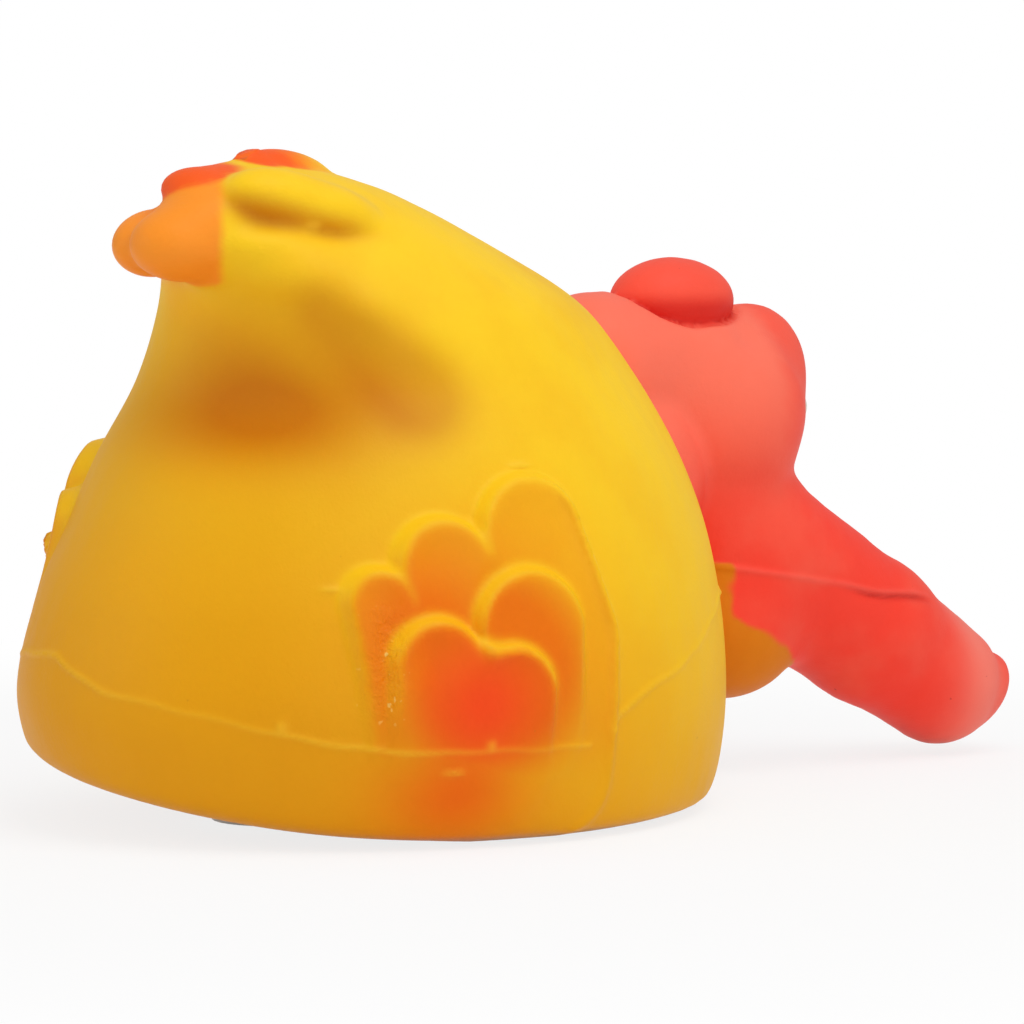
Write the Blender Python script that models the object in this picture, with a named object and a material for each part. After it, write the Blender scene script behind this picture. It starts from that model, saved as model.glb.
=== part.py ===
# Squeaking latex hen for a stage act: the moulded skin, split where it flexes and where the
# two halves of its mould met, with its relief feathers, comb, beak and eyes and its squeaker.
# Metres, +Z up.  The hen faces +Y and its right side is +X.  The origin is the centre of the
# flat base, and the hen stands on z = 0.
from math import atan, cos, pi, radians, sin

import bmesh
import bpy
from mathutils import Matrix, Vector

mm = 0.001

# ---- driving dimensions -------------------------------------------------------------------
body_width = 90.5 * mm
body_length = 107.0 * mm
body_height = 90.0 * mm
skin_wall = 2.0 * mm
clearance = 0.3 * mm

# shares of the body's height, length, half width and half length: height, centre Y, X, Y
body_rows = (
    (0.000, 0.030, 0.900, 0.820),
    (0.022, 0.026, 0.955, 0.900),
    (0.090, 0.018, 0.985, 0.965),
    (0.200, 0.009, 1.000, 1.000),
    (0.333, 0.018, 0.964, 0.961),
    (0.444, 0.030, 0.899, 0.897),
    (0.555, 0.033, 0.813, 0.817),
    (0.667, 0.030, 0.694, 0.710),
    (0.778, 0.000, 0.581, 0.598),
    (0.867, -0.074, 0.427, 0.475),
    (0.944, -0.154, 0.278, 0.350),
    (0.982, -0.196, 0.160, 0.210),
    (1.000, -0.220, 0.030, 0.040),
)
around = 30  # points round the body
rings_per_row = 2

seam_height = 20.0 * mm  # where the mould's parting line crosses the middle of the body
seam_rise = 0.20  # how much it climbs towards the head, per length

back_width = 68.0 * mm  # the panel of the back that gives when it is pressed
back_length = 80.0 * mm
back_centre_y = -5.0 * mm
back_floor = 32.0 * mm  # below the panel's lowest edge

neck_height = 46.0 * mm
neck_inset = 1.8 * mm  # of the neck's pivot behind the front of the breast
neck_ball_radius = 10.0 * mm
neck_stem_radius = 6.4 * mm
neck_fold_wall = 2.0 * mm
neck_fold_width = 5.6 * mm

# places on the head, from the neck's pivot
skull_place = Vector((3.6, 18.0, 8.0)) * mm
skull_radius = 15.5 * mm
nape_place = Vector((1.0, 10.5, 13.0)) * mm
nape_radius = 12.0 * mm
jaw_radius = 12.0 * mm
jaw_taper = 0.5 * mm
throat_place = Vector((2.5, 22.5, -21.5)) * mm
throat_radius = 12.5 * mm
beak_root = Vector((5.0, 27.0, -13.6)) * mm
beak_tip = Vector((11.5, 61.0, -33.2)) * mm
beak_root_radius = 12.2 * mm
beak_tip_radius = 10.6 * mm
face_turn = radians(-10)  # the head looks a little to the hen's right

# places on the face, from the skull's centre: across, forward and up
eye_place = Vector((4.4, 12.9, 0.2)) * mm
eye_radius = 4.6 * mm
pupil_place = Vector((3.9, 16.6, 0.0)) * mm
pupil_radius = 2.1 * mm
pupil_sink = 1.0 * mm  # how deep it sits in the white

# each wing's bearing round the flank towards the tail, and how much higher the casting has it
wing_places = (("right", 1, radians(-22), 0.0 * mm), ("left", -1, radians(-32), 3.5 * mm))
tier_depths = (2.4 * mm, 1.2 * mm, 1.0 * mm)  # outer, middle and inner feathers, one on another

squeaker_place = Vector((0.0, -18.0, 0.0)) * mm  # under the back, clear of the base's middle
squeaker_radius = 9.0 * mm
squeaker_depth = 11.0 * mm
squeaker_wall = 1.2 * mm
squeaker_lift = 0.4 * mm  # of its bottom above the surface that the hen stands on
squeaker_collar = 2.5 * mm  # how far the collar reaches past the cup, over the skin
collar_thickness = 1.4 * mm
sound_hole = 2.0 * mm  # radius
cap_thickness = 1.6 * mm
air_slot = 2.4 * mm
reed_width = 4.4 * mm
reed_length = 12.0 * mm
reed_thickness = 0.5 * mm

# ---- the scene and its materials ----------------------------------------------------------
for old in list(bpy.data.objects):
    bpy.data.objects.remove(old, do_unlink=True)

scene = bpy.context.scene


def new_collection(name):
    made = bpy.data.collections.new(name)
    scene.collection.children.link(made)
    return made


hen = new_collection("rubber_chicken")
cutters = new_collection("cutters")


def material(name, colour, roughness, metallic=0.0):
    made = bpy.data.materials.new(name)
    made.use_nodes = True
    shader = made.node_tree.nodes["Principled BSDF"]
    shader.inputs["Base Color"].default_value = (*colour, 1.0)
    shader.inputs["Roughness"].default_value = roughness
    shader.inputs["Metallic"].default_value = metallic
    made.diffuse_color = (*colour, 1.0)
    return made


yellow_latex = material("yellow_latex", (0.89, 0.50, 0.02), 0.48)
orange_latex = material("orange_latex", (0.90, 0.25, 0.02), 0.48)
red_latex = material("red_latex", (0.88, 0.06, 0.04), 0.45)
eye_white = material("eye_white", (0.86, 0.85, 0.80), 0.30)
eye_black = material("eye_black", (0.01, 0.01, 0.01), 0.25)
squeaker_plastic = material("squeaker_plastic", (0.82, 0.82, 0.80), 0.40)
reed_plastic = material("reed_plastic", (0.55, 0.60, 0.65), 0.30)


# ---- making, cutting and joining solids ---------------------------------------------------
def keep(name, bm, group=cutters):
    """An object in a collection from a bmesh, which is freed."""
    bmesh.ops.recalc_face_normals(bm, faces=bm.faces)
    if bm.calc_volume(signed=True) < 0:
        bmesh.ops.reverse_faces(bm, faces=bm.faces)
    mesh = bpy.data.meshes.new(name)
    bm.to_mesh(mesh)
    bm.free()
    made = bpy.data.objects.new(name, mesh)
    group.objects.link(made)
    if group is cutters:
        made.hide_render = True
        made.display_type = "WIRE"
    return made


def cut(target, *others, how="DIFFERENCE"):
    """Applies a boolean with each of the others to the target's mesh, and returns the target."""
    for other in others:
        step = target.modifiers.new("cut", "BOOLEAN")
        step.operation = how
        step.object = other
        step.solver = "EXACT"
        bpy.context.view_layer.update()
        graph = bpy.context.evaluated_depsgraph_get()
        mesh = bpy.data.meshes.new_from_object(target.evaluated_get(graph))
        target.modifiers.clear()
        old, target.data = target.data, mesh
        bpy.data.meshes.remove(old)
    return target


def join(target, *others):
    return cut(target, *others, how="UNION")


def common(target, *others):
    return cut(target, *others, how="INTERSECT")


def spare(source):
    """A cutter with the same mesh as another object."""
    made = source.copy()
    made.data = source.data.copy()
    cutters.objects.link(made)
    made.hide_render = True
    made.display_type = "WIRE"
    return made


def finish_piece(piece, name, finish):
    """Names a finished solid, gives it its material and moves it to the hen's collection."""
    bm = bmesh.new()
    bm.from_mesh(piece.data)
    bmesh.ops.remove_doubles(bm, verts=bm.verts, dist=0.002 * mm)
    bmesh.ops.dissolve_degenerate(bm, edges=bm.edges, dist=0.002 * mm)
    bmesh.ops.triangulate(bm, faces=[f for f in bm.faces if len(f.verts) > 4])
    bm.to_mesh(piece.data)
    bm.free()
    piece.name = piece.data.name = name
    piece.data.materials.clear()
    piece.data.materials.append(finish)
    piece.data.shade_smooth()
    piece.data.set_sharp_from_angle(angle=radians(40))
    for group in list(piece.users_collection):
        group.objects.unlink(piece)
    hen.objects.link(piece)
    piece.hide_render = False
    piece.display_type = "TEXTURED"
    return piece


def ball(centre, radii, turn=None, segments=18, rings=12):
    """An ellipsoid; radii is a number or three, and turn is its rotation matrix."""
    if not hasattr(radii, "__len__"):
        radii = (radii, radii, radii)
    bm = bmesh.new()
    bmesh.ops.create_uvsphere(bm, u_segments=segments, v_segments=rings, radius=1.0)
    place = Matrix.Translation(centre) @ (turn.to_4x4() if turn else Matrix())
    bm.transform(place @ Matrix.Diagonal((*radii, 1.0)))
    return keep("ball", bm)


def along(direction):
    """The rotation that turns +Z to a direction."""
    return Vector(direction).to_track_quat("Z", "Y").to_matrix()


def capsule(start, end, start_radius, end_radius, segments=16):
    """A round-ended taper from one centre to another."""
    axis = end - start
    bm = bmesh.new()
    bmesh.ops.create_uvsphere(bm, u_segments=segments, v_segments=10, radius=1.0)
    for vert in bm.verts:
        top = vert.co.z > -1e-4
        vert.co *= end_radius if top else start_radius
        vert.co.z += axis.length if top else 0.0
    bm.transform(Matrix.Translation(start) @ along(axis).to_4x4())
    return keep("capsule", bm)


def drum(start, end, radius, segments=28):
    """A cylinder between two points."""
    axis = end - start
    bm = bmesh.new()
    bmesh.ops.create_cone(
        bm, cap_ends=True, segments=segments, radius1=radius, radius2=radius, depth=axis.length
    )
    bm.transform(Matrix.Translation((start + end) / 2) @ along(axis).to_4x4())
    return keep("drum", bm)


def block(centre, size, turn=None):
    bm = bmesh.new()
    bmesh.ops.create_cube(bm, size=1.0)
    place = Matrix.Translation(centre) @ (turn.to_4x4() if turn else Matrix())
    bm.transform(place @ Matrix.Diagonal((*size, 1.0)))
    return keep("block", bm)


def prism(outline, place, depth):
    """A flat outline in its own XY plane, carried by place and extruded both ways."""
    bm = bmesh.new()
    face = bm.faces.new([bm.verts.new((x, y, -depth / 2)) for x, y in outline])
    grown = bmesh.ops.extrude_face_region(bm, geom=[face])
    tops = [v for v in grown["geom"] if isinstance(v, bmesh.types.BMVert)]
    bmesh.ops.translate(bm, verts=tops, vec=(0, 0, depth))
    bm.transform(place)
    return keep("prism", bm)


# ---- the body's form ----------------------------------------------------------------------
def on_spline(rows, t):
    """A Catmull-Rom curve through the rows, where t counts rows."""
    i = min(int(t), len(rows) - 2)
    s = t - i
    a, b, c, d = (Vector(rows[min(max(k, 0), len(rows) - 1)]) for k in range(i - 1, i + 3))
    return 0.5 * (
        2 * b + (c - a) * s + (2 * a - 5 * b + 4 * c - d) * s**2 + (3 * b - a - 3 * c + d) * s**3
    )


def section(t):
    """Height, centre Y, half width and half length of the body's section at row t."""
    height, centre, wide, long = on_spline(body_rows, t)
    return (
        height * body_height,
        centre * body_length,
        wide * body_width / 2,
        long * body_length / 2,
    )


def section_at(height):
    """The section at a height, found by halving."""
    low, high = 0.0, len(body_rows) - 1.0
    for _ in range(30):
        middle = (low + high) / 2
        if section(middle)[0] < height:
            low = middle
        else:
            high = middle
    return section(low)


def front_of_body(height):
    _, centre, _, long = section_at(height)
    return centre + long


def closed_body(offset=0.0):
    """The body's outer form as one closed solid, moved out along its normals by offset."""
    bm = bmesh.new()
    steps = (len(body_rows) - 1) * rings_per_row
    loops = []
    for k in range(steps + 1):
        z, centre, wide, long = section(k / rings_per_row)
        loops.append(
            [
                bm.verts.new((wide * cos(a), centre + long * sin(a), z))
                for a in (2 * pi * i / around for i in range(around))
            ]
        )
    for low, high in zip(loops, loops[1:]):
        for i in range(around):
            j = (i + 1) % around
            bm.faces.new((low[i], low[j], high[j], high[i]))
    bm.faces.new(list(reversed(loops[0])))
    bm.faces.new(loops[-1])
    bmesh.ops.recalc_face_normals(bm, faces=bm.faces)
    bm.normal_update()
    moves = [(v, v.normal * offset * v.calc_shell_factor()) for v in bm.verts]
    for vert, move in moves:
        vert.co += move
    return keep("body", bm)


neck_pivot = Vector((0.0, front_of_body(neck_height) - neck_inset, neck_height))
body_solid = closed_body()
body_inside = closed_body(-skin_wall)
body_room = closed_body(clearance)  # what is fixed on the skin starts here

# ---- the trunk's skin: belly, flanks and back ---------------------------------------------
reach = 400 * mm  # longer than anything here
seam_slope = Matrix.Rotation(atan(seam_rise), 3, "X")


def half_space(offset, above):
    """Everything above or below the parting line, moved up by offset."""
    up = seam_slope @ Vector((0, 0, 1))
    middle = Vector((0, 0, seam_height)) + up * (offset + (reach / 2 if above else -reach / 2))
    return block(middle, (reach, reach, reach), seam_slope)


def back_prism(grow):
    outline = [
        ((back_width / 2 + grow) * cos(a), (back_length / 2 + grow) * sin(a))
        for a in (2 * pi * i / 36 for i in range(36))
    ]
    tall = 200 * mm
    middle = Matrix.Translation((0, back_centre_y, back_floor + tall / 2))
    return prism(outline, middle, tall)


skin = cut(spare(body_solid), body_inside)

belly = common(spare(skin), half_space(-clearance / 2, False))
deep = Vector((0, 0, skin_wall))
squeaker_bore = squeaker_radius + clearance
cut(belly, drum(squeaker_place - deep, squeaker_place + 2 * deep, squeaker_bore))
finish_piece(belly, "belly_skin", yellow_latex)

flanks = common(spare(skin), half_space(clearance / 2, True))
cut(flanks, back_prism(clearance))
neck_hole = neck_ball_radius + neck_fold_wall + 2 * clearance
cut(flanks, ball(neck_pivot, neck_hole, segments=24, rings=14))
finish_piece(flanks, "flank_skin", yellow_latex)

back = common(spare(skin), back_prism(0.0))
finish_piece(back, "back_skin", yellow_latex)

# ---- the tail: fat feathers fanned on the back's highest point ----------------------------
tail_top = section(len(body_rows) - 1)
tail_root = Vector((0.0, tail_top[1], tail_top[0]))

# name, place from the tail's root, radii, tip's pitch and turn in degrees, colour
tail_feathers = (
    ("tail_ridge", (0.0, 6.4, -1.8), (4.4, 10.0, 3.6), -8, 0, red_latex),
    ("tail_crown_feather", (0.0, -7.0, -4.0), (5.6, 6.8, 3.4), 0, 0, red_latex),
    ("tail_centre_feather", (2.0, -13.0, -11.0), (6.6, 8.6, 5.7), 4, 0, orange_latex),
    ("tail_left_feather", (-7.6, -10.0, -10.0), (4.6, 8.4, 5.4), 4, 18, orange_latex),
    ("tail_side_feather_right", (10.0, -0.2, -6.6), (4.6, 9.4, 4.6), 8, -8, orange_latex),
    ("tail_side_feather_left", (-10.0, -0.2, -6.6), (4.6, 9.4, 4.6), 8, 8, orange_latex),
)


def feather_solid(row, grow):
    _, place, radii, pitch, turn, _ = row
    rotation = Matrix.Rotation(radians(turn), 3, "Z") @ Matrix.Rotation(radians(pitch), 3, "X")
    centre = tail_root + Vector(place) * mm
    return ball(centre, [r * mm + grow for r in radii], rotation)


for index, row in enumerate(tail_feathers):
    feather = cut(feather_solid(row, 0.0), body_room)
    cut(feather, *(feather_solid(other, clearance) for other in tail_feathers[:index]))
    finish_piece(feather, row[0], row[-1])


# ---- the wings: three tiers of feather lobes in low relief on each flank ------------------
def feather_outline(tip, root, tip_radius, root_radius):
    """A round-tipped feather, narrower at its root, in the wing's own plane."""
    tip, root = Vector(tip), Vector(root)
    lie = (tip - root).normalized()
    side = Vector((-lie.y, lie.x))
    points = []
    for centre, radius, start in ((tip, tip_radius, -pi / 2), (root, root_radius, pi / 2)):
        for k in range(9):
            turn = start + pi * k / 8
            points.append((centre + radius * (cos(turn) * lie + sin(turn) * side)) * mm)
    return [(p.x, p.y) for p in points]


# tip and root (along the flank towards the head, height) and their radii, in millimetres
outer_tier = (
    ((8.6, 41.0), (5.6, 12.0), 7.4, 5.2),
    ((-4.4, 38.4), (-1.5, 12.0), 6.2, 4.4),
    ((-13.8, 33.4), (-8.8, 12.0), 5.6, 4.2),
)
middle_tier = (
    ((5.6, 30.8), (3.8, 14.0), 6.8, 4.8),
    ((-7.0, 26.8), (-3.6, 14.0), 5.8, 4.2),
)
inner_tier = (((2.2, 23.0), (1.6, 15.0), 5.4, 3.8),)
wing_tiers = (("outer", outer_tier), ("middle", middle_tier), ("inner", inner_tier))
wing_reach = 60 * mm


def wing_place(side, bearing, lift):
    """The wing's plane: X along the flank to the head, Y up, Z out of the flank."""
    out = Vector((cos(bearing) * side, sin(bearing), 0))
    head = Vector((-sin(bearing) * side, cos(bearing), 0))
    up = Vector((0, 0, 1))
    turn = Matrix((head, up, out)).transposed()
    return Matrix.Translation(out * wing_reach + up * lift) @ turn.to_4x4()


for word, side, bearing, lift in wing_places:
    start = clearance
    place = wing_place(side, bearing, lift)
    for level, (tier_name, feathers) in enumerate(wing_tiers):
        solids = [
            prism(feather_outline(*f), place, wing_reach + k * mm)
            for k, f in enumerate(feathers)
        ]
        tier = cut(closed_body(start + tier_depths[level]), closed_body(start))
        common(tier, join(solids[0], *solids[1:]))
        start += tier_depths[level] + clearance
        finish = orange_latex if level else yellow_latex
        finish_piece(tier, f"wing_{tier_name}_{word}", finish)

# ---- the neck -----------------------------------------------------------------------------
nearby = 4 * mm  # the span over which the wall's slope at the neck is taken
wall_back = front_of_body(neck_height + nearby) - front_of_body(neck_height - nearby)
neck_axis = Vector((0, 2 * nearby, -wall_back)).normalized()

fold_outer = neck_ball_radius + clearance + neck_fold_wall
fold = ball(neck_pivot, fold_outer, along(neck_axis), 24, 14)
half_fold = neck_axis * neck_fold_width / 2
common(fold, drum(neck_pivot - half_fold, neck_pivot + half_fold, fold_outer * 1.5, 24))
cut(fold, ball(neck_pivot, neck_ball_radius + clearance, along(neck_axis), 24, 14))
finish_piece(fold, "neck_fold", yellow_latex)

# ---- the head: skull, throat and neck in one hollow skin ----------------------------------
skull_centre = neck_pivot + skull_place
nape_centre = neck_pivot + nape_place
throat_centre = neck_pivot + throat_place
face = Matrix.Rotation(face_turn, 3, "Z")


def head_form(grow):
    """Skull, nape and throat as one solid, grown by a distance."""
    form = ball(skull_centre, skull_radius + grow)
    join(form, ball(nape_centre, nape_radius + grow))
    join(form, ball(throat_centre, throat_radius + grow))
    jaw = capsule(skull_centre, throat_centre, jaw_radius + grow, jaw_radius - jaw_taper + grow)
    return join(form, jaw)


neck_line = (skull_centre - neck_pivot).normalized()
neck_room = neck_hole + clearance  # the rest of the head keeps out of this ball
head = cut(head_form(0.0), ball(neck_pivot, neck_room, segments=24, rings=14))
join(head, drum(neck_pivot, skull_centre, neck_stem_radius, 16))
join(head, ball(neck_pivot, neck_ball_radius, along(neck_axis), 24, 14))
hollow_room = ball(neck_pivot, neck_room + skin_wall, segments=24, rings=14)
cut(head, cut(head_form(-skin_wall), hollow_room))
bore = neck_stem_radius - skin_wall
cut(head, drum(neck_pivot - neck_line * 2 * neck_ball_radius, skull_centre, bore, 16))
head_room = head_form(clearance)

# ---- the comb: a crest of fat lobes over the face's midline -------------------------------
# name, place from the skull's centre in the face's frame, radii, pitch in degrees
comb_lobes = (
    ("comb_crown", (0.0, -3.2, 15.4), (6.6, 11.0, 6.2), 0),
    ("comb_front", (0.0, 8.0, 3.6), (8.0, 9.8, 10.8), 0),
)


def comb_solid(row, grow):
    _, place, radii, pitch = row
    centre = skull_centre + face @ (Vector(place) * mm)
    turn = face @ Matrix.Rotation(radians(pitch), 3, "X")
    return ball(centre, [r * mm + grow for r in radii], turn)


for index, row in enumerate(comb_lobes):
    lobe = cut(comb_solid(row, 0.0), head_room)
    cut(lobe, *(comb_solid(other, clearance) for other in comb_lobes[:index]))
    finish_piece(lobe, row[0], red_latex)

# ---- the beak: a long fat pair of hollow halves -------------------------------------------
root_centre = neck_pivot + beak_root
tip_centre = neck_pivot + beak_tip
beak_lie = (tip_centre - root_centre).normalized()
beak_side = beak_lie.cross(Vector((0, 0, 1))).normalized()
beak_up = beak_side.cross(beak_lie).normalized()
beak_turn = Matrix((beak_side, beak_lie, beak_up)).transposed()
beak_solid = capsule(root_centre, tip_centre, beak_root_radius, beak_tip_radius)
beak_room = capsule(
    root_centre, tip_centre, beak_root_radius + clearance, beak_tip_radius + clearance
)
beak_hollow = capsule(
    root_centre, tip_centre, beak_root_radius - skin_wall, beak_tip_radius - skin_wall
)
cut(head, beak_room)
finish_piece(head, "head_skin", red_latex)

for word, way in (("upper", 1), ("lower", -1)):
    half = cut(spare(beak_solid), beak_hollow)
    middle = root_centre + beak_up * way * (reach / 2 + clearance / 2)
    common(half, block(middle, (reach, reach, reach), beak_turn))
    cut(half, *(comb_solid(row, clearance) for row in comb_lobes))
    finish_piece(half, f"beak_{word}", red_latex)

# ---- the eyes: white domes on the front of the crest, each with a black pupil -------------
for side, word in ((1, "right"), (-1, "left")):
    across = Matrix.Diagonal((side, 1, 1))
    eye_centre = skull_centre + face @ (across @ eye_place)
    pupil_centre = skull_centre + face @ (across @ pupil_place)
    inner_plane = face @ Vector((side, 0, 0))
    own_side = block(
        skull_centre + inner_plane * (reach / 2 + clearance / 2), (reach, reach, reach), face
    )
    comb_room = [comb_solid(row, clearance) for row in comb_lobes]
    eye = cut(ball(eye_centre, eye_radius, face, 14, 10), head_room, beak_room, *comb_room)
    common(eye, own_side)
    pupil = ball(pupil_centre, pupil_radius, face, 12, 8)
    cut(eye, ball(pupil_centre, pupil_radius + clearance, face, 12, 8))
    cut(pupil, ball(eye_centre, eye_radius - pupil_sink, face, 14, 10), *comb_room)
    common(pupil, own_side)
    finish_piece(eye, f"eye_{word}", eye_white)
    finish_piece(pupil, f"pupil_{word}", eye_black)

# ---- the squeaker: a cup pressed in the belly, its slotted cap and the reed between --------
def above(height):
    """The point on the squeaker's axis at a height over the surface that the hen stands on."""
    return squeaker_place + Vector((0, 0, height))


cup_top = squeaker_lift + squeaker_depth
collar_low = skin_wall + clearance
cup = drum(above(squeaker_lift), above(cup_top), squeaker_radius)
collar_radius = squeaker_radius + squeaker_collar
join(cup, drum(above(collar_low), above(collar_low + collar_thickness), collar_radius))
well = squeaker_radius - squeaker_wall
cut(cup, drum(above(squeaker_lift + squeaker_wall), above(2 * cup_top), well))
cut(cup, drum(above(-skin_wall), above(cup_top), sound_hole, 12))
finish_piece(cup, "squeaker_housing", squeaker_plastic)

cap_low = cup_top + clearance
cap = drum(above(cap_low), above(cap_low + cap_thickness), squeaker_radius)
slot_long = reed_length - reed_width
cut(cap, block(above(cap_low), (air_slot, slot_long, 4 * cap_thickness)))
finish_piece(cap, "squeaker_cap", squeaker_plastic)

reed_middle = above(cap_low - clearance - reed_thickness / 2)
reed = block(reed_middle, (reed_width, reed_length, reed_thickness))
finish_piece(reed, "squeaker_reed", reed_plastic)
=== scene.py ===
from math import cos, pi, radians, sin, sqrt

import bmesh
import bpy
import numpy as np
from mathutils import Matrix, Vector


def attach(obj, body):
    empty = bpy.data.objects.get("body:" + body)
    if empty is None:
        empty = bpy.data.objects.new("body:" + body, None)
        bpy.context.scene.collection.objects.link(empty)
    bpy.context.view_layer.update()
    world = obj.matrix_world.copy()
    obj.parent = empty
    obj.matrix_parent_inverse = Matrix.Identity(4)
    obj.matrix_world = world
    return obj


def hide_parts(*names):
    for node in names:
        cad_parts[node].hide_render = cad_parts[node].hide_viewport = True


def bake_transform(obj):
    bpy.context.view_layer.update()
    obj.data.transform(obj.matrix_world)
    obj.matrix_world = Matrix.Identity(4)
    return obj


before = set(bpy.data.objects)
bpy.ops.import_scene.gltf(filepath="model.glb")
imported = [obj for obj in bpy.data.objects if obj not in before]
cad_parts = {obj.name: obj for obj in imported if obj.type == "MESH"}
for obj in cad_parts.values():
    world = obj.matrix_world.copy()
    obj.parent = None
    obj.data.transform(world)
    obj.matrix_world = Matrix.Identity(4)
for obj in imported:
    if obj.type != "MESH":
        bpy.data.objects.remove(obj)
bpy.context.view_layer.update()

# Squeaking latex hen: one moulded skin with a tail, two wings and a hollow head.
# The hen faces +Y and its right side is +X. Forms are worked out in millimetres.
mm = 0.001


class Wire:
    # an output socket that can be added to, taken away and multiplied
    def __init__(self, nodes, socket):
        self.nodes = nodes
        self.socket = socket

    def sums(self, operation, first, second):
        return self.nodes.node("ShaderNodeMath", {"operation": operation}, {0: first, 1: second})

    def __add__(self, other):
        return self.sums("ADD", self, other)

    def __radd__(self, other):
        return self.sums("ADD", other, self)

    def __sub__(self, other):
        return self.sums("SUBTRACT", self, other)

    def __rsub__(self, other):
        return self.sums("SUBTRACT", other, self)

    def __mul__(self, other):
        return self.sums("MULTIPLY", self, other)

    def __rmul__(self, other):
        return self.sums("MULTIPLY", other, self)


class Nodes:
    # a node tree and the way its nodes are made
    def __init__(self, tree):
        self.tree = tree

    def feed(self, socket, value):
        if isinstance(value, Wire):
            self.tree.links.new(value.socket, socket)
        else:
            socket.default_value = value

    def node(self, kind, settings=None, inputs=None, out=0):
        made = self.tree.nodes.new(kind)
        for name, value in (settings or {}).items():
            setattr(made, name, value)
        for name, value in (inputs or {}).items():
            self.feed(made.inputs[name], value)
        return Wire(self, made.outputs[out])


class Finish(Nodes):
    # a material and the nodes that its finish is mixed from
    def __init__(self, name, constants):
        self.material = bpy.data.materials.new(name)
        self.material.use_nodes = True
        super().__init__(self.material.node_tree)
        self.shader = self.tree.nodes["Principled BSDF"]
        for socket, value in constants.items():
            self.shader.inputs[socket].default_value = value
        self.place = self.node("ShaderNodeTexCoord", out="Object")

    def mask(self, name):
        return self.node("ShaderNodeAttribute", {"attribute_name": name}, out="Fac")

    def noise(self, size, detail=3.0, rough=0.5):
        # size is the width of a blotch in metres
        return self.node(
            "ShaderNodeTexNoise",
            inputs={"Vector": self.place, "Scale": 1 / size, "Detail": detail, "Roughness": rough},
        )

    def between(self, value, low, high):
        # 0 below low, 1 above high
        return self.node(
            "ShaderNodeMapRange", {"interpolation_type": "SMOOTHSTEP"},
            {"Value": value, "From Min": low, "From Max": high},
        )

    def mix(self, factor, first, second):
        return self.node(
            "ShaderNodeMix", {"data_type": "RGBA"}, {0: factor, 6: first, 7: second}, out=2
        )

    def done(self, colour, roughness, height=None, depth=0.1 * mm):
        self.feed(self.shader.inputs["Base Color"], colour)
        self.feed(self.shader.inputs["Roughness"], roughness)
        if height is not None:
            bump = self.node("ShaderNodeBump", inputs={"Height": height, "Distance": depth})
            self.feed(self.shader.inputs["Normal"], bump)
        return self.material


def shade(red, green, blue):
    # a colour as it looks on a screen, 0 to 255, as Blender wants it
    levels = [v / 255 for v in (red, green, blue)]
    return (*(v / 12.92 if v < 0.04 else ((v + 0.055) / 1.055) ** 2.4 for v in levels), 1.0)


# forms as distances: below zero is inside
def ramp(value, low, high):
    t = np.clip((value - low) / (high - low), 0, 1)
    return t * t * (3 - 2 * t)


def bell(value, width):
    return np.exp(-((value / width) ** 2))


def melt(first, second, soft):
    # the union of two forms with a soft fillet between them
    h = np.maximum(soft - np.abs(first - second), 0) / soft
    return np.minimum(first, second) - h * h * soft / 4


def carve(first, second, soft):
    # first with second taken away, its edge rounded
    return -melt(-first, second, soft)


def egg(p, centre, radii, turn=None):
    q = p - np.asarray(centre)
    if turn is not None:
        q = q @ turn
    r = np.asarray(radii, float)
    outer = np.linalg.norm(q / r, axis=1)
    inner = np.linalg.norm(q / r**2, axis=1)
    return outer * (outer - 1) / np.maximum(inner, 1e-6)


def taper(p, start, end, startRadius, endRadius):
    start, end = np.asarray(start, float), np.asarray(end, float)
    axis = end - start
    t = np.clip((p - start) @ axis / (axis @ axis), 0, 1)
    away = np.linalg.norm(p - start - t[:, None] * axis, axis=1)
    return away - startRadius - (endRadius - startRadius) * t


def dent(p, centre, widths):
    # 1 at the centre, fading outwards
    q = p - np.asarray(centre, float)
    return np.exp(-((q / np.asarray(widths, float)) ** 2).sum(axis=1))


def waves(p, size, seed):
    # smooth unevenness between about -1 and 1
    total = np.zeros(len(p))
    for k in range(5):
        a = seed * 1.7 + k * 2.4
        way = np.array([cos(a), sin(a * 1.3), sin(a + k)])
        total += np.sin(p @ way * (2 * pi / size) * (0.7 + 0.23 * k) + a * 3)
    return total / 3


def spin(pitch, turn):
    # columns are the axes after a pitch about X and then a turn about Z
    made = Matrix.Rotation(radians(turn), 3, "Z") @ Matrix.Rotation(radians(pitch), 3, "X")
    return np.array(made)


# meshes from forms
def addObject(name, data):
    made = bpy.data.objects.new(name, data)
    bpy.context.scene.collection.objects.link(made)
    return made


def startMesh(name, parts):
    # one mesh object holding all the closed starting shapes
    vertices, faces = [], []
    for points, loops in parts:
        base = len(vertices)
        vertices += [tuple(v) for v in points]
        faces += [[base + i for i in loop] for loop in loops]
    mesh = bpy.data.meshes.new(name)
    mesh.from_pydata(vertices, [], faces)
    mesh.update()
    return addObject(name, mesh)


def angles(count):
    # evenly spaced round a circle
    return [2 * pi * i / count for i in range(count)]


def rings(loops):
    # closed shell through rings of points of one count
    count = len(loops[0])
    points = [v for loop in loops for v in loop]
    faces = []
    for k in range(len(loops) - 1):
        for i in range(count):
            j = (i + 1) % count
            faces.append([k * count + i, k * count + j, (k + 1) * count + j, (k + 1) * count + i])
    faces.append(list(range(count))[::-1])
    faces.append([(len(loops) - 1) * count + i for i in range(count)])
    return points, faces


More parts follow.
